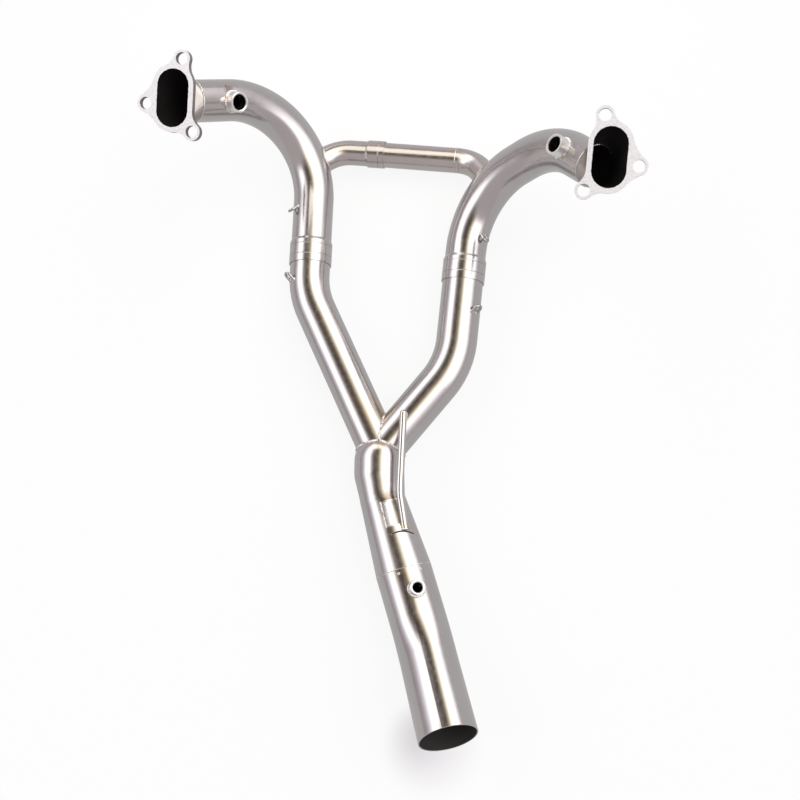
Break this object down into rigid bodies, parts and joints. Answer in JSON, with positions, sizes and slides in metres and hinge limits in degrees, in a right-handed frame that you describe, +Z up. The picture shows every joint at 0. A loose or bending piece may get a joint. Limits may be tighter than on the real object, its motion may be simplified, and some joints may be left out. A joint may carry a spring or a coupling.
{
  "type": "motorcycle exhaust header",
  "caption": "Two-into-one exhaust header for a flat-twin motorcycle: two flanged header tubes, a crossover, slip joints, a Y collector and an outlet tube.",
  "frame": {"origin": "middle of the bounding box, on the floor plane under the lowest point of the header as it lies", "axes": "+X to the right header tube, +Y from the outlet to the crossover, +Z up, with the flange faces up"},
  "size_m": [0.536, 0.6876, 0.1871],
  "materials": {
    "satin_tube": "satin",
    "machined_flange": "satin",
    "turned_boss": "polished",
    "bright_wire": "polished",
    "pressed_plate": "satin"
  },
  "bodies": {
    "root": {"left_flange": "machined_flange", "right_flange": "machined_flange", "left_neck": "satin_tube", "right_neck": "satin_tube", "left_header_tube": "satin_tube", "right_header_tube": "satin_tube", "left_sensor_boss": "turned_boss", "right_sensor_boss": "turned_boss", "left_upper_hook": "bright_wire", "right_upper_hook": "bright_wire", "crossover_left_stub": "satin_tube", "crossover_tube": "satin_tube", "crossover_right_elbow": "satin_tube", "left_branch_tube": "satin_tube", "right_branch_tube": "satin_tube", "left_lower_hook": "bright_wire", "right_lower_hook": "bright_wire", "collector_shell": "satin_tube", "relief_plate": "pressed_plate", "outlet_tube": "satin_tube", "outlet_boss": "turned_boss", "brace_rod": "bright_wire"}
  },
  "joints": []
}
